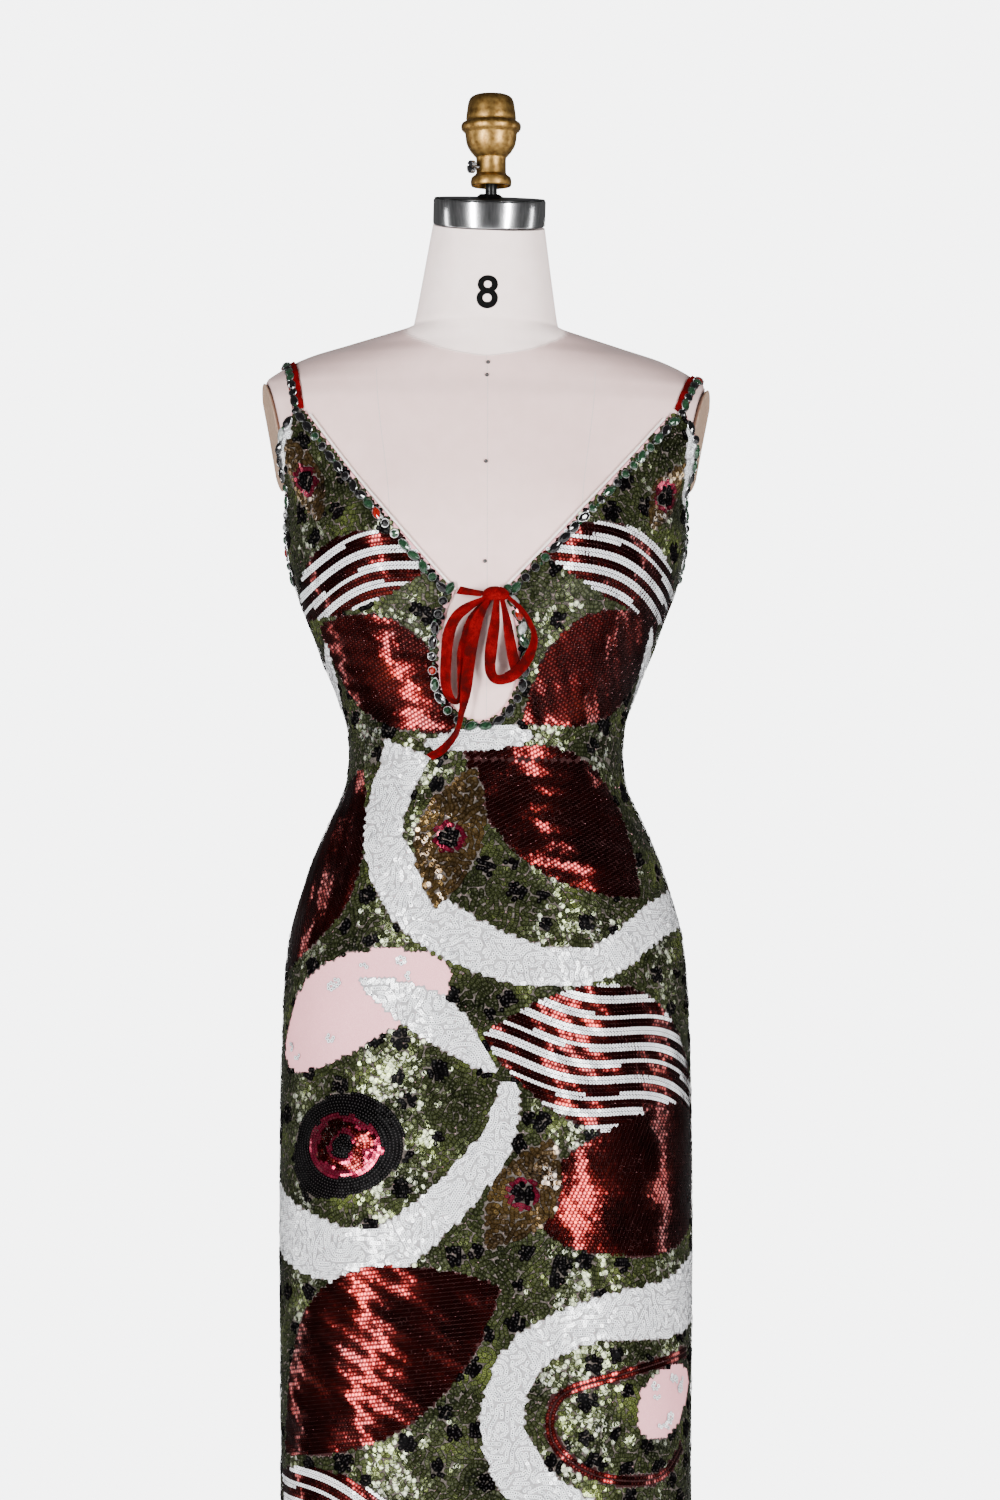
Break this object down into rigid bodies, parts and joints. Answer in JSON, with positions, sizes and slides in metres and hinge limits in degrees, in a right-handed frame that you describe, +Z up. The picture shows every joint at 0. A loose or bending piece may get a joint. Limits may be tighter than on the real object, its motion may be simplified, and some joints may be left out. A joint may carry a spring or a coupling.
{
  "type": "sequin maxi dress on a dress form",
  "caption": "Full-length sequin dress with narrow straps, a deep V neck, a keyhole and a ribbon bow, standing on a limbless linen dress form with a pole and a round base.",
  "frame": {"origin": "centre of the stand's round base, on the floor", "axes": "+Z up, -Y towards the front of the dress, +X towards the viewer's right"},
  "size_m": [0.46, 0.46, 1.6798],
  "materials": {
    "sequins": "net covered with glossy sequins",
    "velvet": "red velvet ribbon",
    "piping": "pale rolled edge",
    "linen": "stretched pale linen",
    "plate": "matte tan",
    "steel": "brushed",
    "black": "satin black",
    "brass": "aged brass",
    "screw": "bright slotted screw",
    "stand": "black powder coat"
  },
  "bodies": {
    "root": {"bodice_front": "sequins", "bodice_back_left": "sequins", "bodice_back_right": "sequins", "skirt_front": "sequins", "skirt_back_left": "sequins", "skirt_back_right": "sequins", "strap_left": "velvet", "strap_right": "velvet", "neckline_binding_left": "piping", "neckline_binding_right": "piping", "ribbon_lead_left": "velvet", "ribbon_lead_right": "velvet", "ribbon_knot": "velvet", "ribbon_loop_left": "velvet", "ribbon_loop_right": "velvet", "ribbon_tail_left": "velvet", "ribbon_tail_right": "velvet", "form_torso": "linen", "arm_plate_left": "plate", "arm_plate_right": "plate", "neck_band": "steel", "neck_cap": "black", "finial_rod": "black", "finial": "brass", "set_screw": "screw", "form_flange": "stand", "stand_pole": "stand", "stand_socket": "stand", "stand_base": "stand"}
  },
  "joints": []
}
